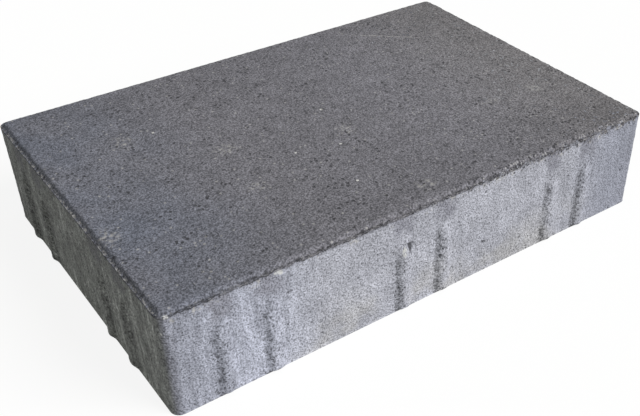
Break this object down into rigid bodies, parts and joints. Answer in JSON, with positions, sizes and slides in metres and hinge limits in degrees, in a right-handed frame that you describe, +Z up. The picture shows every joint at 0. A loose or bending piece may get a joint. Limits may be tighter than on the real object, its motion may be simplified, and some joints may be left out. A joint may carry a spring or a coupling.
{
  "type": "paving stone",
  "caption": "Flat rectangular concrete paving stone with a narrow bevelled top edge and upright spacer ribs on its sides.",
  "frame": {"origin": "middle of the bed face, on the surface that the stone lies on", "axes": "+X along the long side, +Y along the short side, +Z up out of the walking face"},
  "size_m": [0.3, 0.2, 0.06],
  "materials": {
    "concrete": "rough dark anthracite concrete with a pale lime bloom on its sides"
  },
  "bodies": {
    "root": {"paving_stone": "concrete"}
  },
  "joints": []
}
